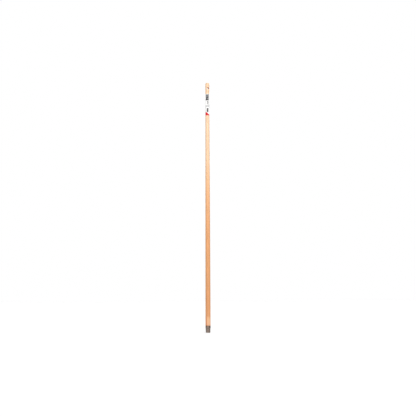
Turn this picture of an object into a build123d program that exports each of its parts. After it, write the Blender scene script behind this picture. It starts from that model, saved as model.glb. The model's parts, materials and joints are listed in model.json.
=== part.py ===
from build123d import *
from math import acos, ceil, cos, degrees, radians, sqrt, tan
import os

# Roller extension pole: a turned, tapered wooden shaft with a die-cast threaded tip pressed
# and pinned on its thick end, and a wrap-round label near its thin end.
# Frame: millimetres, origin at the centre of the tip's end face, +Z along the pole towards
# the hang hole, +Y along the hang hole.

# ---- shaft ----
overall_length = 1219.2        # tip's end face to the top of the crown: 48 in
shoulder_diameter = 24.7       # where the wood meets the tip
top_diameter = 19.4            # at the crown's edge
crown_radius = 13.5            # the end's crown is a spherical cap
crown_edge_radius = 5.2        # and it rolls over into the shaft
shoulder_lip = 0.4             # chamfer on the wood beside the collar

# ---- hang hole ----
hole_diameter = 11.1           # 7/16 in drill
hole_below_crown = 29.0
hole_rim_radius = 0.6          # the rims are eased

# ---- threaded tip ----
tip_length = 33.0
collar_height = 10.0
collar_lip = 0.4               # chamfer on the collar beside the wood
collar_step_angle = 25.0       # the collar's underside slopes in at this angle from level
thread_step = 0.1              # the thread's crest cone lies this far inside the collar
thread_taper_angle = 3.4       # each side, from the axis
thread_pitch = 5.08            # five turns to the inch
thread_depth = 0.9
thread_crest_width = 2.3
thread_flank_angle = 25.0      # each flank, from square to the axis
groove_overreach = 0.6         # the cut goes this far out past the crests
neck_height = 1.2              # plain stretch between the last turn and the collar
nose_chamfer = 1.9
end_wall = 4.0

# ---- socket and tenon ----
socket_wall = 1.75             # metal left between the socket and the thread's root
rib_count = 4
rib_width = 1.2
rib_height = 0.6
rib_below_mouth = 11.0         # the ribs stop this far below the mouth, clear of the pins
tenon_clearance = 0.05         # on the radius, a press fit
tenon_end_gap = 1.0            # room for glue under the tenon
tenon_end_chamfer = 1.2

# ---- retaining pins ----
pin_count = 2
pin_diameter = 2.0
pin_bite = 3.7                 # how far each pin goes into the tenon
pin_below_shoulder = 4.65
pin_sink = 0.15                # the heads lie this far under the collar's surface
pin_point_length = 1.6
pin_head_radius = 2.6          # spherical
pin_clearance = 0.02           # on the radius and at the point, a drive fit

# ---- label ----
label_length = 106.0
label_below_crown = 57.3       # top of the crown to the label's upper edge
label_seam_gap = 3.4           # bare wood between the label's side edges, at the back
label_thickness = 0.12
label_corner_radius = 3.0
label_glue_gap = 0.02
label_front_angle = -108.0     # the direction that its middle faces, from +X towards +Y

# ---- heights and radii that follow from the above ----
shoulder_radius = shoulder_diameter / 2
top_radius = top_diameter / 2
crown_base = overall_length - crown_radius + sqrt(crown_radius**2 - top_radius**2)
shaft_taper = (shoulder_radius - top_radius) / (crown_base - tip_length)
hole_height = overall_length - hole_below_crown
collar_bottom = tip_length - collar_height
thread_top = collar_bottom - neck_height
thread_taper = tan(radians(thread_taper_angle))
flank_slope = tan(radians(thread_flank_angle))
groove_half_root = (thread_pitch - thread_crest_width) / 2 - thread_depth * flank_slope
groove_end = collar_bottom - max(neck_height, groove_half_root)
pin_height = tip_length - pin_below_shoulder
label_top = overall_length - label_below_crown
label_bottom = label_top - label_length
label_middle = (label_top + label_bottom) / 2


def shaft_radius(height):
    """Radius of the tapered shaft at a height above the tip's end face."""
    return shoulder_radius - shaft_taper * (height - tip_length)


def crest_radius(height):
    """Radius of the cone that the thread's crests lie on."""
    return shoulder_radius - thread_step - thread_taper * (collar_bottom - height)


def root_radius(height):
    """Radius of the bottom of the thread's groove."""
    return crest_radius(height) - thread_depth


def socket_radius(height):
    """Radius of the tapered socket inside the tip."""
    return root_radius(height) - socket_wall


def tenon_radius(height):
    """Radius of the turned tenon that fills the socket."""
    return socket_radius(height) - tenon_clearance


def cap(radius, edge_radius, top):
    """Arc of a spherical cap of a given radius, from its edge up to its top on the axis."""
    edge_angle = degrees(acos(edge_radius / radius))
    return CenterArc((0, top - radius), radius, edge_angle, 90 - edge_angle)


def outline_face(lines):
    """Face in the XZ plane from lines drawn in (radius, height)."""
    return make_face(Plane.XZ * lines)


def turned(points):
    """Solid turned about the pole's axis from a closed outline of (radius, height) points."""
    return revolve(outline_face(Polyline(*points, close=True)), axis=Axis.Z)


def spread(count, offset=0.0):
    """Angles, in degrees from +X, of equally spaced features."""
    return [360.0 * (index + offset) / count for index in range(count)]


def radial(solid, angle):
    """Solid drawn along +Z, laid along a radius of the pole at pin height."""
    return Rot(0, 0, angle) * Pos(0, 0, pin_height) * Rot(0, 90, 0) * solid


def pin_outer_end():
    """Distance from the axis to the crown of a pin's head."""
    return shoulder_radius - pin_sink


def pin_inner_end():
    """Distance from the axis to a pin's point."""
    return tenon_radius(pin_height) - pin_bite


def pin_drilling():
    """Drilled holes for the pins, through the collar and into the tenon."""
    start = pin_inner_end() - pin_clearance
    length = shoulder_radius + pin_diameter - start
    drill = Cylinder(
        pin_diameter / 2 + pin_clearance,
        length,
        align=(Align.CENTER, Align.CENTER, Align.MIN),
    )
    return [radial(Pos(0, 0, start) * drill, angle) for angle in spread(pin_count)]


def grip_ribs(clearance):
    """Ribs along the socket's wall, larger by a clearance on their free sides."""
    low = end_wall
    high = tip_length - rib_below_mouth + clearance
    stand = rib_height + clearance
    side = Polyline(
        (socket_radius(low) - stand, low),
        (socket_radius(low) + rib_height, low),
        (socket_radius(high) + rib_height, high),
        (socket_radius(high) - stand, high),
        close=True,
    )
    rib = extrude(outline_face(side), rib_width / 2 + clearance, both=True)
    return [Rot(0, 0, angle) * rib for angle in spread(rib_count, 0.5)]


def make_shaft_blank():
    """The turned wood: tenon, shoulder, long taper and rounded end."""
    tenon_end = end_wall + tenon_end_gap
    chamfer_top = tenon_end + tenon_end_chamfer
    sides = Polyline(
        (0, overall_length),
        (0, tenon_end),
        (tenon_radius(chamfer_top) - tenon_end_chamfer, tenon_end),
        (tenon_radius(chamfer_top), chamfer_top),
        (tenon_radius(tip_length), tip_length),
        (shoulder_radius - shoulder_lip, tip_length),
        (shaft_radius(tip_length + shoulder_lip), tip_length + shoulder_lip),
        (top_radius, crown_base),
    )
    crown = cap(crown_radius, top_radius, overall_length)
    blank = revolve(outline_face(sides + crown), axis=Axis.Z)
    crown_edge = blank.edges().filter_by(lambda edge: edge.is_closed).sort_by(Axis.Z)[-1]
    return fillet(crown_edge, crown_edge_radius)


def make_pole_shaft():
    """Wooden shaft with its hang hole, and a tenon grooved and drilled to match the tip."""
    shaft = make_shaft_blank()
    hole = Pos(0, 0, hole_height) * Rot(90, 0, 0) * Cylinder(hole_diameter / 2, shoulder_diameter)
    shaft -= hole
    rims = shaft.edges().filter_by(GeomType.BSPLINE)
    shaft = fillet(rims, hole_rim_radius)
    for rib in grip_ribs(tenon_clearance):
        shaft -= rib
    for drilling in pin_drilling():
        shaft -= drilling
    return shaft


def groove_edge(outward, upward, start_height):
    """One turn of a conical helix, beside the middle of the groove's root."""
    turn = Helix(
        pitch=thread_pitch / cos(radians(thread_taper_angle)),
        height=thread_pitch,
        radius=root_radius(start_height) + outward,
        center=(0, 0, start_height + upward),
        cone_angle=thread_taper_angle,
    )
    return turn.edge()


def make_groove_turn(start_height):
    """One turn of the helical groove, closed by ruled faces between its four edges."""
    reach = thread_depth + groove_overreach
    half_at_reach = groove_half_root + reach * flank_slope
    edges = [
        groove_edge(0, -groove_half_root, start_height),
        groove_edge(0, groove_half_root, start_height),
        groove_edge(reach, half_at_reach, start_height),
        groove_edge(reach, -half_at_reach, start_height),
    ]
    faces = []
    for edge, following in zip(edges, edges[1:] + edges[:1]):
        faces.append(Face.make_surface_from_curves(edge, following))
    for end in (0, 1):
        faces.append(Face(Wire.make_polygon([edge @ end for edge in edges], close=True)))
    return Solid(Shell(faces))


def groove_starts():
    """Heights where the groove's turns start, from its run-out in the neck to below the nose."""
    turns = ceil(groove_end / thread_pitch) + 1
    return [groove_end - (turn + 1) * thread_pitch for turn in range(turns)]


def make_tip_blank():
    """Collar, neck and the cone that the thread is cut into."""
    neck_radius = root_radius(thread_top)
    step_rise = (shoulder_radius - neck_radius) * tan(radians(collar_step_angle))
    return turned(
        [
            (0, 0),
            (crest_radius(0) - nose_chamfer, 0),
            (crest_radius(nose_chamfer), nose_chamfer),
            (crest_radius(thread_top), thread_top),
            (neck_radius, thread_top),
            (neck_radius, collar_bottom),
            (shoulder_radius, collar_bottom + step_rise),
            (shoulder_radius, tip_length - collar_lip),
            (shoulder_radius - collar_lip, tip_length),
            (0, tip_length),
        ]
    )


def make_socket():
    """Tapered hollow for the tenon, with the grip ribs left standing on its wall."""
    socket = turned(
        [
            (0, end_wall),
            (socket_radius(end_wall), end_wall),
            (socket_radius(tip_length), tip_length),
            (0, tip_length),
        ]
    )
    for rib in grip_ribs(0.0):
        socket -= rib
    return socket


def make_threaded_tip():
    """Die-cast tip: collar, neck, coarse tapered thread and ribbed socket."""
    tip = make_tip_blank()
    for start_height in groove_starts():
        tip -= make_groove_turn(start_height)
    tip -= make_socket()
    for drilling in pin_drilling():
        tip -= drilling
    return tip


def make_retaining_pins():
    """Steel pins driven through the collar into the tenon."""
    length = pin_outer_end() - pin_inner_end()
    radius = pin_diameter / 2
    head_edge = length - pin_head_radius + sqrt(pin_head_radius**2 - radius**2)
    sides = Polyline(
        (0, length),
        (0, 0),
        (radius, pin_point_length),
        (radius, head_edge),
    )
    head = cap(pin_head_radius, radius, length)
    pin = revolve(outline_face(sides + head), axis=Axis.Z)
    placed = Pos(0, 0, pin_inner_end()) * pin
    return Compound(children=[radial(placed, angle) for angle in spread(pin_count)])


def label_corner(side_angle, inward, height, upward):
    """Cutter that rounds one corner of the label: inward and upward are +1 or -1."""
    radius = label_corner_radius
    plane = Plane(origin=(0, 0, height), x_dir=(0, 1, 0), z_dir=(1, 0, 0))
    square = Pos(inward * radius / 2, -upward * radius / 2) * Rectangle(radius, radius)
    disc = Pos(inward * radius, -upward * radius) * Circle(radius)
    cutter = extrude(plane * (square - disc), shoulder_diameter)
    return Rot(0, 0, side_angle) * cutter


def make_label():
    """Thin printed film wrapped round the taper, open along a seam at the back."""
    inner = label_glue_gap
    outer = label_glue_gap + label_thickness
    strip = Polyline(
        (shaft_radius(label_bottom) + inner, label_bottom),
        (shaft_radius(label_bottom) + outer, label_bottom),
        (shaft_radius(label_top) + outer, label_top),
        (shaft_radius(label_top) + inner, label_top),
        close=True,
    )
    seam_angle = degrees(label_seam_gap / shaft_radius(label_middle))
    wrap_angle = 360.0 - seam_angle
    first_side = label_front_angle - wrap_angle / 2
    last_side = first_side + wrap_angle
    label = revolve(outline_face(strip), axis=Axis.Z, revolution_arc=wrap_angle)
    label = Rot(0, 0, first_side) * label
    for side_angle, inward in ((first_side, 1), (last_side, -1)):
        for height, upward in ((label_top, 1), (label_bottom, -1)):
            label -= label_corner(side_angle, inward, height, upward)
    return label


if __name__ == "__main__":
    os.makedirs("parts", exist_ok=True)
    export_step(make_pole_shaft(), "parts/pole_shaft.step")
    export_step(make_threaded_tip(), "parts/threaded_tip.step")
    export_step(make_retaining_pins(), "parts/retaining_pins.step")
    export_step(make_label(), "parts/label.step")
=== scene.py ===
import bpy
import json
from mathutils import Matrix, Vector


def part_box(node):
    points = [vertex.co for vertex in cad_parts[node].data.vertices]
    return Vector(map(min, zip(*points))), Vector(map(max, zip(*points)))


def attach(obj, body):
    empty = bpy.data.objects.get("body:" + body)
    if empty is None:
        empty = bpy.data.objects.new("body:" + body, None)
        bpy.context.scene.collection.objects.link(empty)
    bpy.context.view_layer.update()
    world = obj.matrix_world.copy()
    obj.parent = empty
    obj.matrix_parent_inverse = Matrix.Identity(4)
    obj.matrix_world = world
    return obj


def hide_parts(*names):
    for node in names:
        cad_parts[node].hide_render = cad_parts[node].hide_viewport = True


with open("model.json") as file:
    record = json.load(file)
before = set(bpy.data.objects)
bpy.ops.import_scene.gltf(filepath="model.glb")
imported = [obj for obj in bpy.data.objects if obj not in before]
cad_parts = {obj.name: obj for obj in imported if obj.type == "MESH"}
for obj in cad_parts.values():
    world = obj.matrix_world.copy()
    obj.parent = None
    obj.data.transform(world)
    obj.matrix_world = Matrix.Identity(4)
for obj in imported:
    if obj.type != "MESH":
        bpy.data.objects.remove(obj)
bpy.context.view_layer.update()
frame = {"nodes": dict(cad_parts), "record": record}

import json
import math

import bmesh
import bpy
import numpy as np
from mathutils import Matrix, Vector

# A roller extension pole: a varnished wooden shaft, a die-cast threaded tip with two
# retaining pins, and a printed label. Everything is in metres, in the frame of the CAD part:
# +Z runs up the pole from the tip's end face, +Y along the hang hole.

MM = 0.001
TURN = 2 * math.pi

# ---- sizes read from the frame ----
shaft_low, shaft_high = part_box("pole_shaft")
tip_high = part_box("threaded_tip")[1]
label_low, label_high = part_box("label")
mounts = {mount["name"]: mount for mount in frame["record"]["mounts"]}
POLE_TOP = shaft_high.z
TENON_END = shaft_low.z
TIP_LENGTH = tip_high.z
SHOULDER_RADIUS = tip_high.x
HOLE_HEIGHT = mounts["hang_hole"]["pos_m"][2]
HOLE_RADIUS = mounts["hang_hole"]["dims"]["r_mm"] * MM

# ---- the shaft's other sizes, as the CAD part has them ----
TOP_RADIUS = 9.7 * MM
CROWN_RADIUS = 13.5 * MM
CROWN_EDGE_RADIUS = 5.2 * MM
SHOULDER_LIP = 0.4 * MM
HOLE_RIM = 0.6 * MM

# ---- the tip's other sizes ----
COLLAR_BOTTOM = TIP_LENGTH - 10.0 * MM
COLLAR_LIP = 0.4 * MM
COLLAR_STEP_ANGLE = math.radians(25.0)
THREAD_STEP = 0.1 * MM
THREAD_TAPER = math.tan(math.radians(3.4))
THREAD_PITCH = 5.08 * MM
THREAD_DEPTH = 0.9 * MM
THREAD_CREST = 2.3 * MM
THREAD_FLANK = math.tan(math.radians(25.0))
NECK_HEIGHT = 1.2 * MM
NOSE_CHAMFER = 1.9 * MM
END_WALL = 4.0 * MM
SOCKET_WALL = 1.75 * MM
TENON_CLEARANCE = 0.05 * MM
PIN_HEIGHT = TIP_LENGTH - 4.65 * MM
PIN_HOLE_RADIUS = 1.02 * MM
PIN_HOLE_RIM = 0.15 * MM
PIN_HOLE_DEPTH = 1.2 * MM      # as far as it is seen, behind the pin's head
TENON_CHAMFER = 1.2 * MM
EDGE_SOFTNESS = 0.35 * MM      # how far the casting's corners are rounded

# ---- camera ----
VIEW_AZIMUTH = math.radians(-18.0)
VIEW_DISTANCE = 4.81
VIEW_HEIGHT = 0.168
VIEW_PITCH = math.radians(5.15)
VIEW_ROLL = math.radians(-0.18)
VIEW_SIDESTEP = 1.5 * MM
VIEW_LENS = 86.0
SENSOR = 36.0

view_right = Vector((math.cos(VIEW_AZIMUTH), math.sin(VIEW_AZIMUTH), 0))
view_front = Vector((-math.sin(VIEW_AZIMUTH), math.cos(VIEW_AZIMUTH), 0))

scene = bpy.context.scene


def make_camera():
    """A long lens, low down, looking slightly up the standing pole."""
    data = bpy.data.cameras.new("camera")
    data.lens = VIEW_LENS
    data.sensor_width = SENSOR
    camera = bpy.data.objects.new("camera", data)
    scene.collection.objects.link(camera)
    step = view_right * VIEW_SIDESTEP - view_front * VIEW_DISTANCE
    camera.location = step + Vector((0, 0, VIEW_HEIGHT))
    forward = view_front * math.cos(VIEW_PITCH) + Vector((0, 0, math.sin(VIEW_PITCH)))
    up = view_right.cross(forward)
    facing = Matrix((view_right, up, -forward)).transposed()
    camera.rotation_mode = "QUATERNION"
    camera.rotation_quaternion = (facing @ Matrix.Rotation(VIEW_ROLL, 3, "Z")).to_quaternion()
    scene.camera = camera


# ================================ mesh tools ================================

def smooth_min(a, b, soft):
    """The smaller of two lengths, blended where they are within soft of each other."""
    near = np.maximum(soft - np.abs(a - b), 0.0) / soft
    return np.minimum(a, b) - near * near * soft / 4


def smooth_max(a, b, soft):
    """The larger of two lengths, blended where they are within soft of each other."""
    return -smooth_min(-a, -b, soft)


def mesh_object(name, points, faces, body="root", smooth=True):
    """New object from points and faces, riding on a body."""
    mesh = bpy.data.meshes.new(name)
    mesh.from_pydata([tuple(point) for point in points], [], faces)
    mesh.validate()
    mesh.update()
    if smooth:
        mesh.polygons.foreach_set("use_smooth", [True] * len(mesh.polygons))
    piece = bpy.data.objects.new(name, mesh)
    scene.collection.objects.link(piece)
    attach(piece, body)
    return piece


class Turning:
    """A skin turned about the Z axis, row by row, whose rows may hold round holes."""

    def __init__(self, columns):
        self.columns = columns
        self.points = []
        self.faces = []
        self.rows = []
        self.angles = np.arange(columns) * TURN / columns

    def add_point(self, point):
        self.points.append(tuple(point))
        return len(self.points) - 1

    def add_row(self, radii, height):
        """Adds a ring of points; radii is one length or one for each column."""
        radii = np.broadcast_to(radii, self.columns)
        row = []
        for angle, radius in zip(self.angles, radii):
            row.append(self.add_point((radius * math.cos(angle), radius * math.sin(angle), height)))
        self.rows.append(row)

    def add_pole(self, height):
        """Adds a single point on the axis as a row."""
        centre = self.add_point((0, 0, height))
        self.rows.append([centre] * self.columns)

    def skin(self, skipped=()):
        """Joins neighbouring rows with faces, leaving out the skipped (row, column) cells."""
        skipped = set(skipped)
        for low in range(len(self.rows) - 1):
            for column in range(self.columns):
                if (low, column) in skipped:
                    continue
                after = (column + 1) % self.columns
                corners = [
                    self.rows[low][column],
                    self.rows[low][after],
                    self.rows[low + 1][after],
                    self.rows[low + 1][column],
                ]
                self.faces.append(list(dict.fromkeys(corners)))

    def cells_about(self, centre_column, half_columns, first_row, last_row):
        """The cells of a rectangle of the grid, and the points round its border."""
        columns = [
            (centre_column + step) % self.columns
            for step in range(-half_columns, half_columns + 1)
        ]
        cells = [(row, column) for row in range(first_row, last_row) for column in columns[:-1]]
        border = [self.rows[first_row][column] for column in columns]
        border += [self.rows[row][columns[-1]] for row in range(first_row + 1, last_row + 1)]
        border += [self.rows[last_row][column] for column in reversed(columns[:-1])]
        border += [self.rows[row][columns[0]] for row in range(last_row - 1, first_row, -1)]
        return cells, border

    def hole_mouth(self, border, outward, height, hole_radius, rim, radius_at, rings, rim_rings):
        """Rings of points from a border down to a round hole's wall; returns the wall's ring."""
        across = Vector((-outward.y, outward.x, 0))
        spots = [Vector(self.points[index]) for index in border]
        offsets = [Vector((spot.dot(across), spot.z - height)) for spot in spots]
        mouth = hole_radius + rim
        previous = border
        for step in range(1, rings + rim_rings + 1):
            ring = []
            for offset in offsets:
                toward = offset.normalized()
                if step <= rings:
                    spot = offset.lerp(toward * mouth, step / rings)
                    drop = 0.0
                else:
                    roll = (step - rings) / rim_rings * math.pi / 2
                    spot = toward * (mouth - rim * math.sin(roll))
                    drop = rim * (1 - math.cos(roll))
                surface = radius_at(height + spot.y)
                depth = math.sqrt(surface**2 - spot.x**2) - drop
                place = outward * depth + across * spot.x + Vector((0, 0, height + spot.y))
                ring.append(self.add_point(place))
            self.join(previous, ring)
            previous = ring
        return previous

    def join(self, outer, inner):
        """Faces between two closed rings of as many points."""
        count = len(outer)
        for index in range(count):
            after = (index + 1) % count
            self.faces.append([outer[index], outer[after], inner[after], inner[index]])


# ================================ the shaft ================================

SHAFT_COLUMNS = 96
SHAFT_ROW_STEP = 5.0 * MM
HOLE_HALF_COLUMNS = 16
HOLE_HALF_BAND = 9.0 * MM
HOLE_BAND_ROWS = 20
HOLE_RINGS = 6                 # of points from the grid to the hole's rim
RIM_RINGS = 4                  # round the rim
BORE_RINGS = 8                 # along the hole's wall
CROWN_ROWS = 14


def crown_base():
    """Height where the shaft's cone would meet the spherical cap of its end."""
    return POLE_TOP - CROWN_RADIUS + math.sqrt(CROWN_RADIUS**2 - TOP_RADIUS**2)


SHAFT_TAPER = (SHOULDER_RADIUS - TOP_RADIUS) / (crown_base() - TIP_LENGTH)


def shaft_radius(height):
    """Radius of the tapered shaft at a height."""
    return SHOULDER_RADIUS - SHAFT_TAPER * (height - TIP_LENGTH)


def crown_outline():
    """(radius, height) of the rounded end, from the cone's edge to just short of the axis."""
    roll_radius = shaft_radius(crown_base()) - CROWN_EDGE_RADIUS
    cap_centre = POLE_TOP - CROWN_RADIUS
    reach = CROWN_RADIUS - CROWN_EDGE_RADIUS
    roll_centre = cap_centre + math.sqrt(reach**2 - roll_radius**2)
    meet = math.atan2(roll_centre - cap_centre, roll_radius)
    points = []
    for step in range(CROWN_ROWS):
        angle = meet * step / CROWN_ROWS
        radius = roll_radius + CROWN_EDGE_RADIUS * math.cos(angle)
        points.append((radius, roll_centre + CROWN_EDGE_RADIUS * math.sin(angle)))
    for step in range(CROWN_ROWS):
        angle = meet + (math.pi / 2 - meet) * step / CROWN_ROWS
        radius = CROWN_RADIUS * math.cos(angle)
        points.append((radius, cap_centre + CROWN_RADIUS * math.sin(angle)))
    return points


def crest_radius(height):
    """Radius of the cone that the thread's crests lie on."""
    return SHOULDER_RADIUS - THREAD_STEP - THREAD_TAPER * (COLLAR_BOTTOM - height)


def socket_radius(height):
    """Radius of the tapered socket inside the tip."""
    return crest_radius(height) - THREAD_DEPTH - SOCKET_WALL


def shaft_heights(low, high):
    """Evenly spaced heights between two heights, both included."""
    count = max(1, round((high - low) / SHAFT_ROW_STEP))
    return [low + (high - low) * step / count for step in range(count + 1)]


def make_shaft():
    """Wooden shaft: tenon, eased shoulder, long taper, hang hole and rounded end."""
    turning = Turning(SHAFT_COLUMNS)
    tenon_foot = socket_radius(TENON_END) - TENON_CLEARANCE
    tenon_root = socket_radius(TIP_LENGTH) - TENON_CLEARANCE
    turning.add_pole(TENON_END)
    turning.add_row(tenon_foot - TENON_CHAMFER, TENON_END)
    turning.add_row(tenon_foot, TENON_END + TENON_CHAMFER)
    turning.add_row(tenon_root, TIP_LENGTH)
    turning.add_row(SHOULDER_RADIUS - SHOULDER_LIP, TIP_LENGTH)
    turning.add_row(SHOULDER_RADIUS - SHOULDER_LIP * 0.3, TIP_LENGTH + SHOULDER_LIP * 0.3)
    outline = crown_outline()
    band_low = HOLE_HEIGHT - HOLE_HALF_BAND
    band_high = HOLE_HEIGHT + HOLE_HALF_BAND
    for height in shaft_heights(TIP_LENGTH + SHOULDER_LIP, band_low)[:-1]:
        turning.add_row(shaft_radius(height), height)
    first_band = len(turning.rows)
    for step in range(HOLE_BAND_ROWS + 1):
        height = band_low + (band_high - band_low) * step / HOLE_BAND_ROWS
        turning.add_row(shaft_radius(height), height)
    last_band = len(turning.rows) - 1
    for height in shaft_heights(band_high, outline[0][1])[1:-1]:
        turning.add_row(shaft_radius(height), height)
    for radius, height in outline:
        turning.add_row(radius, height)
    turning.add_pole(POLE_TOP)
    skipped = []
    mouths = []
    for centre_column, outward in ((SHAFT_COLUMNS * 3 // 4, Vector((0, -1, 0))),
                                   (SHAFT_COLUMNS // 4, Vector((0, 1, 0)))):
        cells, border = turning.cells_about(centre_column, HOLE_HALF_COLUMNS, first_band, last_band)
        skipped += cells
        mouths.append(turning.hole_mouth(
            border, outward, HOLE_HEIGHT, HOLE_RADIUS, HOLE_RIM, shaft_radius, HOLE_RINGS, RIM_RINGS
        ))
    turning.skin(skipped)
    join_bore(turning, *mouths)
    return mesh_object("wooden_shaft", turning.points, turning.faces)


def join_bore(turning, front, back):
    """The wall of the hang hole, between its front and back mouths."""
    spots = {}
    for index in back:
        point = turning.points[index]
        spots[(round(point[0] / MM, 3), round(point[2] / MM, 3))] = index
    matched = []
    for index in front:
        point = turning.points[index]
        matched.append(spots[(round(point[0] / MM, 3), round(point[2] / MM, 3))])
    previous = front
    for step in range(1, BORE_RINGS):
        ring = []
        for near, far in zip(front, matched):
            spot = Vector(turning.points[near]).lerp(Vector(turning.points[far]), step / BORE_RINGS)
            ring.append(turning.add_point(spot))
        turning.join(previous, ring)
        previous = ring
    turning.join(previous, matched)


# ================================ the tip ================================

TIP_COLUMNS = 144
TIP_ROW_STEP = 0.22 * MM
PIN_HALF_COLUMNS = 6
PIN_HALF_BAND = PIN_HOLE_RADIUS + 1.6 * MM
PIN_HOLE_RINGS = 4
PIN_RIM_RINGS = 3
END_FACE_RINGS = (0.35, 0.7, 0.92)
PARTING_FLAT = 0.3 * MM        # the mould's halves leave small flats on the crests
FLAT_SOFTNESS = 0.2 * MM
RUN_OUT = 0.4 * MM             # the thread fades into the neck over this height


def thread_groove(angles, height):
    """Depth of the helical groove below the crests, one value for each angle."""
    turns = (height - COLLAR_BOTTOM + NECK_HEIGHT) / THREAD_PITCH - angles / TURN
    off_centre = np.abs((turns + 0.5) % 1.0 - 0.5) * THREAD_PITCH
    half_top = (THREAD_PITCH - THREAD_CREST) / 2
    depth = (half_top - off_centre) / THREAD_FLANK
    return smooth_min(smooth_max(depth, 0.0 * depth, EDGE_SOFTNESS), THREAD_DEPTH, EDGE_SOFTNESS)


def tip_radii(angles, height):
    """Radius of the casting's outside at a height, one value for each angle."""
    crest = crest_radius(height) + EDGE_SOFTNESS / 4
    root = crest_radius(height) - THREAD_DEPTH
    flats = (crest - PARTING_FLAT) / np.maximum(np.abs(np.sin(angles)), 0.2)
    body = smooth_min(crest - thread_groove(angles, height), flats, FLAT_SOFTNESS)
    thread_top = COLLAR_BOTTOM - NECK_HEIGHT
    faded = np.clip((height - thread_top) / RUN_OUT + 0.5, 0, 1)
    body = body + (root - body) * faded
    step = root + (height - COLLAR_BOTTOM) / math.tan(COLLAR_STEP_ANGLE)
    collar = smooth_min(step, SHOULDER_RADIUS + 0 * angles, EDGE_SOFTNESS)
    body = smooth_max(body, collar, EDGE_SOFTNESS)
    nose = crest_radius(0) - NOSE_CHAMFER + height
    body = smooth_min(body, nose + 0 * angles, EDGE_SOFTNESS)
    lip = SHOULDER_RADIUS - COLLAR_LIP + (TIP_LENGTH - height)
    return np.minimum(smooth_min(body, lip + 0 * angles, COLLAR_LIP), SHOULDER_RADIUS)


def make_tip():
    """Die-cast tip: nose, thread, neck, collar with two pin holes, and the socket inside."""
    turning = Turning(TIP_COLUMNS)
    turning.add_pole(0.0)
    nose_radius = crest_radius(0) - NOSE_CHAMFER
    for share in END_FACE_RINGS:
        turning.add_row(nose_radius * share, 0.0)
    count = round(TIP_LENGTH / TIP_ROW_STEP)
    heights = [TIP_LENGTH * step / count for step in range(count + 1)]
    first_row = len(turning.rows)
    for height in heights:
        turning.add_row(tip_radii(turning.angles, height), height)
    turning.add_row(socket_radius(TIP_LENGTH), TIP_LENGTH)
    turning.add_row(socket_radius(END_WALL), END_WALL)
    turning.add_pole(END_WALL)
    inside = [row for row, height in enumerate(heights) if abs(height - PIN_HEIGHT) < PIN_HALF_BAND]
    low_row = first_row + inside[0]
    high_row = first_row + inside[-1]
    skipped = []
    for centre_column, outward in ((0, Vector((1, 0, 0))), (TIP_COLUMNS // 2, Vector((-1, 0, 0)))):
        cells, border = turning.cells_about(centre_column, PIN_HALF_COLUMNS, low_row, high_row)
        skipped += cells
        wall = turning.hole_mouth(
            border, outward, PIN_HEIGHT, PIN_HOLE_RADIUS, PIN_HOLE_RIM,
            lambda height: SHOULDER_RADIUS, PIN_HOLE_RINGS, PIN_RIM_RINGS,
        )
        close_pin_hole(turning, wall, outward)
    turning.skin(skipped)
    return mesh_object("cast_tip", turning.points, turning.faces)


def close_pin_hole(turning, wall, outward):
    """A blind end for a pin's hole, behind the pin's head."""
    inset = SHOULDER_RADIUS - PIN_HOLE_DEPTH
    ring = []
    for index in wall:
        spot = Vector(turning.points[index])
        ring.append(turning.add_point(spot + outward * (inset - spot.dot(outward))))
    turning.join(wall, ring)
    turning.faces.append(list(ring))


# ================================ the label ================================

LABEL_SEAM = 3.4 * MM
LABEL_THICKNESS = 0.12 * MM
LABEL_GLUE = 0.02 * MM
LABEL_CORNER = 3.0 * MM
CORNER_STEPS = 6
LABEL_FRONT = math.radians(-108.0)
LABEL_FACET = 1.0 * MM

LABEL_TOP = label_high.z
LABEL_LENGTH = label_high.z - label_low.z
LABEL_MIDDLE_RADIUS = shaft_radius(label_high.z - LABEL_LENGTH / 2)
LABEL_WIDTH = TURN * LABEL_MIDDLE_RADIUS - LABEL_SEAM

# Printed areas: name, left, right, top and bottom edge, in mm from the middle line and from
# the upper edge. They are plain blocks and say nothing.
PRINT_BLOCKS = [
    ("slate", -7.8, -1.2, 1.9, 10.9),
    ("slate", -0.7, 6.8, 1.9, 10.9),
    ("charcoal", -7.8, -4.2, 11.6, 20.9),
    ("charcoal", -3.8, 6.8, 11.6, 20.9),
    ("charcoal", -7.8, 2.1, 21.6, 31.6),
    ("charcoal", 2.5, 6.8, 21.6, 31.6),
    ("pale_grey", -10.0, 17.0, 54.1, 65.1),
    ("charcoal", -3.2, 5.2, 70.5, 76.3),
    ("charcoal", -3.2, 5.2, 76.7, 83.8),
    ("charcoal", -3.2, 5.2, 84.2, 89.9),
]
FINE_LINES = 7
FINE_TOP = 34.3
FINE_PITCH = 2.5
FINE_HEIGHT = 1.75
FINE_LEFT = -1.4
FINE_RIGHTS = (6.4, 5.1, 6.0)  # the fine lines end raggedly
FOOT_LEFT = -11.5              # the red foot's left edge
WEDGE_LEFT = (-4.5, 90.2)      # the foot is level up to here
WEDGE_RIGHT = (12.0, 104.0)    # and slopes down through here


def fine_lines():
    """Blocks for a few thin lines, one below the other."""
    blocks = []
    for line in range(FINE_LINES):
        top = FINE_TOP + FINE_PITCH * line
        right = FINE_RIGHTS[line % len(FINE_RIGHTS)]
        blocks.append(("charcoal", FINE_LEFT, right, top, top + FINE_HEIGHT))
    return blocks


def label_outline():
    """Corner points of the flat label, with its corners rounded."""
    half = LABEL_WIDTH / 2 / MM
    length = LABEL_LENGTH / MM
    radius = LABEL_CORNER / MM
    points = []
    for centre_x, centre_y, start in (
        (half - radius, radius, -90),
        (half - radius, length - radius, 0),
        (-half + radius, length - radius, 90),
        (-half + radius, radius, 180),
    ):
        for step in range(CORNER_STEPS + 1):
            angle = math.radians(start + 90 * step / CORNER_STEPS)
            points.append((centre_x + radius * math.cos(angle), centre_y + radius * math.sin(angle)))
    return points


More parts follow.
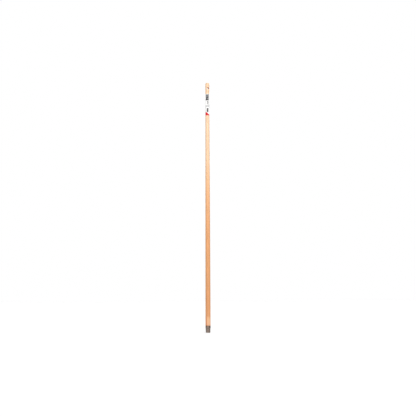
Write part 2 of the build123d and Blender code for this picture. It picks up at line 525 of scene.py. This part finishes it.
def cut(flat, point, normal):
    """Cuts a flat mesh along a line, keeping both sides."""
    geometry = flat.verts[:] + flat.edges[:] + flat.faces[:]
    bmesh.ops.bisect_plane(flat, geom=geometry, plane_co=point, plane_no=normal, dist=1e-5)


def in_red_foot(x, y):
    """True inside the red foot's left, level and sloping edges."""
    slope = (WEDGE_RIGHT[1] - WEDGE_LEFT[1]) / (WEDGE_RIGHT[0] - WEDGE_LEFT[0])
    return x > FOOT_LEFT and y > WEDGE_LEFT[1] + slope * max(x - WEDGE_LEFT[0], 0.0)


def printed_colour(blocks, x, y):
    """Name of the ink at a place on the flat label."""
    for name, left, right, top, bottom in blocks:
        if left < x < right and top < y < bottom:
            return name
    return "red" if in_red_foot(x, y) else "film"


def make_label(materials):
    """Thin film, cut along the edges of its printed areas, then wrapped round the taper."""
    flat = bmesh.new()
    flat.faces.new([flat.verts.new((x, y, 0)) for x, y in label_outline()])
    blocks = PRINT_BLOCKS + fine_lines()
    edges_x = {edge for block in blocks for edge in block[1:3]} | {FOOT_LEFT}
    edges_y = {edge for block in blocks for edge in block[3:5]} | {WEDGE_LEFT[1]}
    half = LABEL_WIDTH / 2 / MM
    facets = round(LABEL_WIDTH / LABEL_FACET)
    edges_x |= {-half + 2 * half * step / facets for step in range(1, facets)}
    for x in sorted(edges_x):
        cut(flat, (x, 0, 0), (1, 0, 0))
    for y in sorted(edges_y):
        cut(flat, (0, y, 0), (0, 1, 0))
    slope = Vector((WEDGE_RIGHT[0] - WEDGE_LEFT[0], WEDGE_RIGHT[1] - WEDGE_LEFT[1], 0))
    cut(flat, (WEDGE_LEFT[0], WEDGE_LEFT[1], 0), (-slope.y, slope.x, 0))
    names = list(materials)
    for face in flat.faces:
        centre = face.calc_center_median()
        face.material_index = names.index(printed_colour(blocks, centre.x, centre.y))
    solid = bmesh.ops.extrude_face_region(flat, geom=flat.faces[:], use_keep_orig=True)
    film = names.index("film")
    for item in solid["geom"]:
        if isinstance(item, bmesh.types.BMFace):
            item.material_index = film
    inner = {item for item in solid["geom"] if isinstance(item, bmesh.types.BMVert)}
    for vert in flat.verts:
        lift = LABEL_GLUE if vert in inner else LABEL_GLUE + LABEL_THICKNESS
        height = LABEL_TOP - vert.co.y * MM
        angle = LABEL_FRONT + vert.co.x * MM / LABEL_MIDDLE_RADIUS
        radius = shaft_radius(height) + lift
        vert.co = (radius * math.cos(angle), radius * math.sin(angle), height)
    bmesh.ops.recalc_face_normals(flat, faces=flat.faces[:])
    mesh = bpy.data.meshes.new("printed_label")
    flat.to_mesh(mesh)
    flat.free()
    for name in names:
        mesh.materials.append(materials[name])
    label = bpy.data.objects.new("printed_label", mesh)
    scene.collection.objects.link(label)
    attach(label, "root")
    return label


# ================================ materials ================================

class Finish:
    """One procedural material, and short ways to add nodes to it."""

    def __init__(self, name, roughness):
        self.material = bpy.data.materials.new(name)
        self.material.use_nodes = True
        self.tree = self.material.node_tree
        self.shader = self.tree.nodes["Principled BSDF"]
        self.shader.inputs["Roughness"].default_value = roughness
        self.place = self.tree.nodes.new("ShaderNodeTexCoord").outputs["Object"]

    def feed(self, socket, value):
        """Sets a socket to a number or tuple, or links it to another node's output."""
        if isinstance(value, bpy.types.NodeSocket):
            self.tree.links.new(value, socket)
        else:
            socket.default_value = value

    def maths(self, operation, first, second=0.0, third=0.0):
        node = self.tree.nodes.new("ShaderNodeMath")
        node.operation = operation
        for socket, value in zip(node.inputs, (first, second, third)):
            self.feed(socket, value)
        return node.outputs[0]

    def mapped(self, scale, turn=(0, 0, 0), shift=(0, 0, 0)):
        """The surface's place, turned, shifted and scaled."""
        node = self.tree.nodes.new("ShaderNodeMapping")
        self.feed(node.inputs["Vector"], self.place)
        node.inputs["Scale"].default_value = scale
        node.inputs["Rotation"].default_value = turn
        node.inputs["Location"].default_value = shift
        return node.outputs[0]

    def noise(self, vector, scale=1.0, detail=3.0, roughness=0.5):
        node = self.tree.nodes.new("ShaderNodeTexNoise")
        self.feed(node.inputs["Vector"], vector)
        node.inputs["Scale"].default_value = scale
        node.inputs["Detail"].default_value = detail
        node.inputs["Roughness"].default_value = roughness
        return node.outputs[0]

    def ramp(self, factor, stops, smooth=False):
        """Colours or greys along a factor: (place, grey or (r, g, b)) for each stop."""
        node = self.tree.nodes.new("ShaderNodeValToRGB")
        self.feed(node.inputs[0], factor)
        elements = node.color_ramp.elements
        while len(elements) < len(stops):
            elements.new(0.5)
        for element, (place, color) in zip(elements, stops):
            element.position = place
            element.color = (*color, 1) if isinstance(color, tuple) else (color, color, color, 1)
        node.color_ramp.interpolation = "EASE" if smooth else "LINEAR"
        return node.outputs[0]

    def mix(self, factor, first, second, blend="MIX"):
        node = self.tree.nodes.new("ShaderNodeMix")
        node.data_type = "RGBA"
        node.blend_type = blend
        colours = [socket for socket in node.inputs if socket.type == "RGBA"]
        self.feed(node.inputs["Factor"], factor)
        self.feed(colours[0], first)
        self.feed(colours[1], second)
        return [socket for socket in node.outputs if socket.type == "RGBA"][0]

    def shade(self, colour, low, high, factor):
        """The colour made darker or lighter, from low to high as the factor goes from 0 to 1."""
        return self.mix(1.0, colour, self.ramp(factor, [(0.0, low), (1.0, high)]), "MULTIPLY")

    def height(self):
        """The height up the pole, in metres."""
        node = self.tree.nodes.new("ShaderNodeSeparateXYZ")
        self.feed(node.inputs[0], self.place)
        return node.outputs[2]

    def length(self, vector, flat=False):
        """The length of a vector, or of its part square to the pole."""
        if flat:
            node = self.tree.nodes.new("ShaderNodeVectorMath")
            node.operation = "MULTIPLY"
            self.feed(node.inputs[0], vector)
            node.inputs[1].default_value = (1, 1, 0)
            vector = node.outputs[0]
        node = self.tree.nodes.new("ShaderNodeVectorMath")
        node.operation = "LENGTH"
        self.feed(node.inputs[0], vector)
        return node.outputs[1]

    def bump(self, height, distance, strength=1.0):
        node = self.tree.nodes.new("ShaderNodeBump")
        node.inputs["Distance"].default_value = distance
        node.inputs["Strength"].default_value = strength
        self.feed(node.inputs["Height"], height)
        self.feed(self.shader.inputs["Normal"], node.outputs[0])

    def color(self, value):
        self.feed(self.shader.inputs["Base Color"], value)

    def roughen(self, factor, low, high):
        """Roughness from low to high as the factor goes from 0 to 1."""
        self.feed(self.shader.inputs["Roughness"], self.ramp(factor, [(0.0, low), (1.0, high)]))


# Wood colours up the pole: (height in metres, colour). It pales towards the hang hole: partly the
# wood's own tone, partly painted light on the upper end.
WOOD_AND_LIGHT_COLOURS = [
    (0.040, (0.735, 0.296, 0.132)),
    (0.085, (0.715, 0.313, 0.121)),
    (0.150, (0.69, 0.295, 0.108)),
    (0.300, (0.72, 0.325, 0.122)),
    (0.450, (0.75, 0.335, 0.125)),
    (0.650, (0.84, 0.425, 0.192)),
    (0.740, (0.88, 0.500, 0.255)),
    (0.850, (0.90, 0.585, 0.360)),
    (1.130, (0.91, 0.635, 0.415)),
    (1.185, (0.905, 0.595, 0.365)),
]
RING_SPACING = 2.3 * MM
PITH_SHIFT = (0.019, 0.034, 0.0)          # the tree's middle lies outside the pole
GRAIN_TURN = (math.radians(0.9), math.radians(-0.7), 0.0)
# the side that the painted light is on: the camera's right
LIT_SIDE = (0.95, -0.31, 0.0)
LIT_PATCH_TOP = 0.091
DARKENING_HEIGHT = 7.0 * MM        # the wood is darker this far above the collar


def make_wood():
    """Varnished softwood: growth rings, fibre streaks and fine pores under a clear coat."""
    wood = Finish("varnished_wood", 0.42)
    height = wood.height()
    share = wood.maths("DIVIDE", height, POLE_TOP)
    # colour up the pole, partly painted light on the upper end
    base = wood.ramp(share, [(place / POLE_TOP, color) for place, color in WOOD_AND_LIGHT_COLOURS])

    grain = wood.mapped((1, 1, 1), GRAIN_TURN, PITH_SHIFT)
    waver = wood.noise(wood.mapped((60, 60, 2.2), GRAIN_TURN), detail=2.0)
    far = wood.maths("ADD", wood.length(grain, flat=True), wood.maths("MULTIPLY", waver, 4.5 * MM))
    ring = wood.maths("FRACT", wood.maths("DIVIDE", far, RING_SPACING))
    latewood = wood.ramp(ring, [(0.0, 0.0), (0.45, 0.1), (0.82, 0.75), (0.93, 1.0), (1.0, 0.0)], True)
    base = wood.mix(wood.maths("MULTIPLY", latewood, 0.42), base, (0.62, 0.66, 0.66, 1), "MULTIPLY")

    broad = wood.noise(wood.mapped((120, 120, 2.0), GRAIN_TURN), detail=3.0)
    base = wood.shade(base, 0.90, 1.08, broad)
    fibre = wood.noise(wood.mapped((1500, 1500, 16), GRAIN_TURN), detail=4.0, roughness=0.6)
    base = wood.shade(base, 0.86, 1.12, fibre)
    pore = wood.noise(wood.mapped((3800, 3800, 110), GRAIN_TURN), detail=1.0)
    pore = wood.ramp(pore, [(0.60, 0.0), (0.72, 1.0)])
    base = wood.mix(wood.maths("MULTIPLY", pore, 0.35), base, (0.55, 0.42, 0.34, 1), "MULTIPLY")
    # painted light on the lit side of the thick end
    base = painted_light_patch(wood, height, base)
    # darker just above the collar
    base = darker_above_collar(wood, height, base, broad)
    # the hang hole's wall: raw wood, and painted shade in the recess
    wood.color(raw_bore_and_shade(wood, height, end_grain(wood, base)))

    wood.roughen(fibre, 0.36, 0.50)
    relief = wood.maths("MULTIPLY", wood.maths("SUBTRACT", fibre, pore), 0.5)
    wood.bump(relief, 0.05 * MM, 0.5)
    wood.shader.inputs["Coat Weight"].default_value = 0.55
    wood.shader.inputs["Coat Roughness"].default_value = 0.16
    return wood.material


def end_grain(wood, base):
    """Darkens the wood where it is cut across its fibres, which drink more varnish."""
    geometry = wood.tree.nodes.new("ShaderNodeNewGeometry")
    node = wood.tree.nodes.new("ShaderNodeSeparateXYZ")
    wood.feed(node.inputs[0], geometry.outputs["Normal"])
    facing = wood.ramp(wood.maths("ABSOLUTE", node.outputs[2]), [(0.35, 0.0), (0.95, 0.45)])
    return wood.mix(facing, base, (0.72, 0.58, 0.48, 1), "MULTIPLY")


def darker_above_collar(wood, height, base, broad):
    """Makes the wood darker just above the tip's collar."""
    above = wood.maths("DIVIDE", wood.maths("SUBTRACT", height, TIP_LENGTH), DARKENING_HEIGHT)
    darkening = wood.ramp(above, [(0.0, 0.75), (1.0, 0.0)])
    darkening = wood.maths("MULTIPLY", darkening, wood.maths("GREATER_THAN", height, TIP_LENGTH))
    darkening = wood.maths("MULTIPLY", darkening, wood.maths("MULTIPLY_ADD", broad, 0.6, 0.7))
    return wood.mix(darkening, base, (0.62, 0.56, 0.50, 1), "MULTIPLY")


def painted_light_patch(wood, height, base):
    """Painted light: a paler stretch on the camera's right-hand side of the thick end, the side the key
    lamp lights.
    """
    side = wood.tree.nodes.new("ShaderNodeVectorMath")
    side.operation = "DOT_PRODUCT"
    wood.feed(side.inputs[0], wood.place)
    side.inputs[1].default_value = LIT_SIDE
    ragged = wood.maths("MULTIPLY", wood.noise(wood.mapped((300, 300, 12), GRAIN_TURN)), 6.0 * MM)
    across = wood.ramp(
        wood.maths("MULTIPLY_ADD", wood.maths("ADD", side.outputs["Value"], ragged), 60.0, 0.5),
        [(0.35, 0.0), (0.56, 1.0)],
    )
    streaky = wood.maths("MULTIPLY_ADD", ragged, 3.0, height)
    up = wood.ramp(wood.maths("DIVIDE", streaky, LIT_PATCH_TOP), [(0.83, 1.0), (1.0, 0.0)])
    return wood.mix(wood.maths("MULTIPLY", across, up), base, (1.08, 1.42, 1.76, 1), "MULTIPLY")


def raw_bore_and_shade(wood, height, base):
    """Darkens the wood inside the hang hole: the raw wood's own deeper tone, and painted shade in the
    hole's recess.
    """
    surface = wood.maths("MULTIPLY_ADD", height, -SHAFT_TAPER, shaft_radius(0))
    sunk = wood.maths("SUBTRACT", surface, wood.length(wood.place, flat=True))
    bored = wood.ramp(wood.maths("DIVIDE", sunk, 2.0 * MM), [(0.15, 0.0), (0.5, 1.0)])
    above = wood.maths("GREATER_THAN", height, HOLE_HEIGHT - 2 * HOLE_RADIUS)
    below = wood.maths("LESS_THAN", height, HOLE_HEIGHT + 2 * HOLE_RADIUS)
    near = wood.maths("MULTIPLY", bored, wood.maths("MULTIPLY", above, below))
    return wood.mix(near, base, (0.95, 0.60, 0.28, 1), "MULTIPLY")


COLLAR_SHARE = COLLAR_BOTTOM / TIP_LENGTH
COLLAR_DULLING = 0.15 * MM     # the collar is as little rubbed as the thread is this deep


def make_cast_metal():
    """Dull die-cast zinc: grey-brown skin, darker in the thread's roots, rubbed on the crests."""
    cast = Finish("cast_zinc", 0.5)
    cast.shader.inputs["Metallic"].default_value = 0.85
    height = cast.height()
    around = cast.length(cast.place, flat=True)
    crest = cast.maths("MULTIPLY_ADD", height, THREAD_TAPER, crest_radius(0))
    crest = cast.maths("MINIMUM", crest, SHOULDER_RADIUS + COLLAR_DULLING)
    depth = cast.maths("DIVIDE", cast.maths("SUBTRACT", crest, around), THREAD_DEPTH)
    mottle = cast.noise(cast.place, 260.0, 4.0, 0.6)
    skin = cast.ramp(mottle, [(0.3, (0.34, 0.255, 0.212)), (0.7, (0.45, 0.345, 0.288))])
    # darker in the thread's roots
    root_darkening = cast.ramp(cast.maths("MULTIPLY_ADD", mottle, 0.5, depth), [(0.55, 0.0), (1.35, 0.7)])
    skin = cast.mix(root_darkening, skin, (0.13, 0.093, 0.072, 1))
    along = cast.maths("DIVIDE", height, TIP_LENGTH)
    # over the collar: lower roughness, and its colour darkened all round as painted shade for the dark
    # reflections on its sides
    turned = cast.ramp(along, [(COLLAR_SHARE, 0.0), (COLLAR_SHARE + 0.03, 1.0)])
    skin = cast.mix(cast.maths("MULTIPLY", turned, 0.8), skin, (0.56, 0.52, 0.50, 1), "MULTIPLY")
    scuff = cast.noise(cast.mapped((900, 900, 2600)), detail=2.0)
    rubbed = cast.ramp(cast.maths("SUBTRACT", scuff, depth), [(0.38, 0.0), (0.62, 0.55)])
    skin = cast.mix(rubbed, skin, (0.60, 0.51, 0.45, 1))
    cast.color(skin)
    cast.roughen(cast.maths("MAXIMUM", rubbed, turned), 0.52, 0.27)
    grit = cast.noise(cast.place, 2400.0, 3.0, 0.6)
    cast.bump(grit, 0.12 * MM, 0.55)
    return cast.material


def make_wire_steel():
    """Bright drawn wire, with turned marks on the pins' heads."""
    steel = Finish("wire_steel", 0.3)
    steel.shader.inputs["Metallic"].default_value = 1.0
    scratch = steel.noise(steel.mapped((400, 3000, 3000)), detail=3.0)
    steel.color(steel.ramp(scratch, [(0.3, (0.46, 0.45, 0.43)), (0.7, (0.62, 0.61, 0.59))]))
    steel.roughen(scratch, 0.22, 0.42)
    steel.bump(scratch, 0.02 * MM, 0.6)
    return steel.material


def make_film(name, color):
    """Smooth printed film: a little uneven gloss, and faint dulling where hands have rubbed it."""
    film = Finish(name, 0.32)
    rubbing = film.noise(film.mapped((90, 90, 40)), detail=4.0, roughness=0.6)
    film.color(film.shade((*color, 1), 0.95, 1.03, rubbing))
    film.roughen(rubbing, 0.24, 0.46)
    ripple = film.noise(film.mapped((160, 160, 60)), detail=1.0)
    film.bump(ripple, 0.06 * MM, 0.4)
    return film.material


INKS = {
    "film": (0.93, 0.92, 0.90),
    "slate": (0.070, 0.080, 0.100),
    "charcoal": (0.03, 0.03, 0.035),
    "pale_grey": (0.58, 0.58, 0.58),
    "red": (0.68, 0.012, 0.018),
}


# ================================ studio ================================

WORLD_LOW = 0.29               # light from the sides
WORLD_HIGH = 1.00              # and from the front and the back
WORLD_FOCUS = 3.0              # higher is darker between them
FLOOR_HALF = 30.0
FLOOR_SHADE = 0.93

# Lamps: name, degrees to the right of the camera's side, elevation, strength, softness.
LAMPS = [
    ("key", 26, 30, 1.43, 40),
    ("fill", -48, 20, 0.46, 70),
    ("rear", 170, 35, 0.9, 60),
    ("top", 0, 88, 0.84, 60),
]


def make_world():
    """White behind the object; soft light that is stronger from the front and the back."""
    world = bpy.data.worlds.new("studio")
    scene.world = world
    world.use_nodes = True
    tree = world.node_tree
    tree.nodes.clear()
    direction = tree.nodes.new("ShaderNodeTexCoord")
    along = tree.nodes.new("ShaderNodeVectorMath")
    along.operation = "DOT_PRODUCT"
    along.inputs[1].default_value = view_front
    tree.links.new(direction.outputs["Generated"], along.inputs[0])
    focus = tree.nodes.new("ShaderNodeMath")
    focus.operation = "POWER"
    focus.inputs[1].default_value = WORLD_FOCUS
    magnitude = tree.nodes.new("ShaderNodeMath")
    magnitude.operation = "ABSOLUTE"
    tree.links.new(along.outputs["Value"], magnitude.inputs[0])
    tree.links.new(magnitude.outputs[0], focus.inputs[0])
    strength = tree.nodes.new("ShaderNodeMath")
    strength.operation = "MULTIPLY_ADD"
    strength.inputs[1].default_value = WORLD_HIGH - WORLD_LOW
    strength.inputs[2].default_value = WORLD_LOW
    tree.links.new(focus.outputs[0], strength.inputs[0])
    lighting = tree.nodes.new("ShaderNodeBackground")
    tree.links.new(strength.outputs[0], lighting.inputs["Strength"])
    backdrop = tree.nodes.new("ShaderNodeBackground")
    for shade in (lighting, backdrop):
        shade.inputs["Color"].default_value = (1, 1, 1, 1)
    seen = tree.nodes.new("ShaderNodeLightPath")
    chosen = tree.nodes.new("ShaderNodeMixShader")
    tree.links.new(seen.outputs["Is Camera Ray"], chosen.inputs[0])
    tree.links.new(lighting.outputs[0], chosen.inputs[1])
    tree.links.new(backdrop.outputs[0], chosen.inputs[2])
    output = tree.nodes.new("ShaderNodeOutputWorld")
    tree.links.new(chosen.outputs[0], output.inputs["Surface"])


def make_lamp(name, turn, elevation, strength, softness):
    """A soft, distant lamp."""
    data = bpy.data.lights.new(name, "SUN")
    data.energy = strength
    data.angle = math.radians(softness)
    lamp = bpy.data.objects.new(name, data)
    scene.collection.objects.link(lamp)
    side = VIEW_AZIMUTH + math.radians(turn)
    rise = math.radians(elevation)
    source = Vector((math.sin(side) * math.cos(rise), -math.cos(side) * math.cos(rise), math.sin(rise)))
    lamp.rotation_mode = "QUATERNION"
    lamp.rotation_quaternion = source.to_track_quat("Z", "Y")


def make_floor():
    """A plain pale floor, wide enough to meet the white behind it."""
    signs = ((-1, -1), (1, -1), (1, 1), (-1, 1))
    corners = [(x * FLOOR_HALF, y * FLOOR_HALF, 0) for x, y in signs]
    mesh = bpy.data.meshes.new("floor")
    mesh.from_pydata(corners, [], [(0, 1, 2, 3)])
    floor = bpy.data.objects.new("floor", mesh)
    scene.collection.objects.link(floor)
    floor.visible_glossy = False    # the metal and the varnish mirror only the studio
    paper = Finish("pale_floor", 0.9)
    paper.shader.inputs["Base Color"].default_value = (FLOOR_SHADE, FLOOR_SHADE, FLOOR_SHADE, 1)
    paper.shader.inputs["Specular IOR Level"].default_value = 0.0
    mesh.materials.append(paper.material)


# ================================ the object ================================

make_camera()
make_world()
for lamp in LAMPS:
    make_lamp(*lamp)
make_floor()

shaft = make_shaft()
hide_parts("pole_shaft")
shaft.data.materials.append(make_wood())

tip = make_tip()
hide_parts("threaded_tip")
tip.data.materials.append(make_cast_metal())

label = make_label({name: make_film(name, color) for name, color in INKS.items()})
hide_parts("label")

for slot in frame["nodes"]["retaining_pins"].material_slots:
    slot.material = make_wire_steel()

scene.view_settings.view_transform = "Standard"
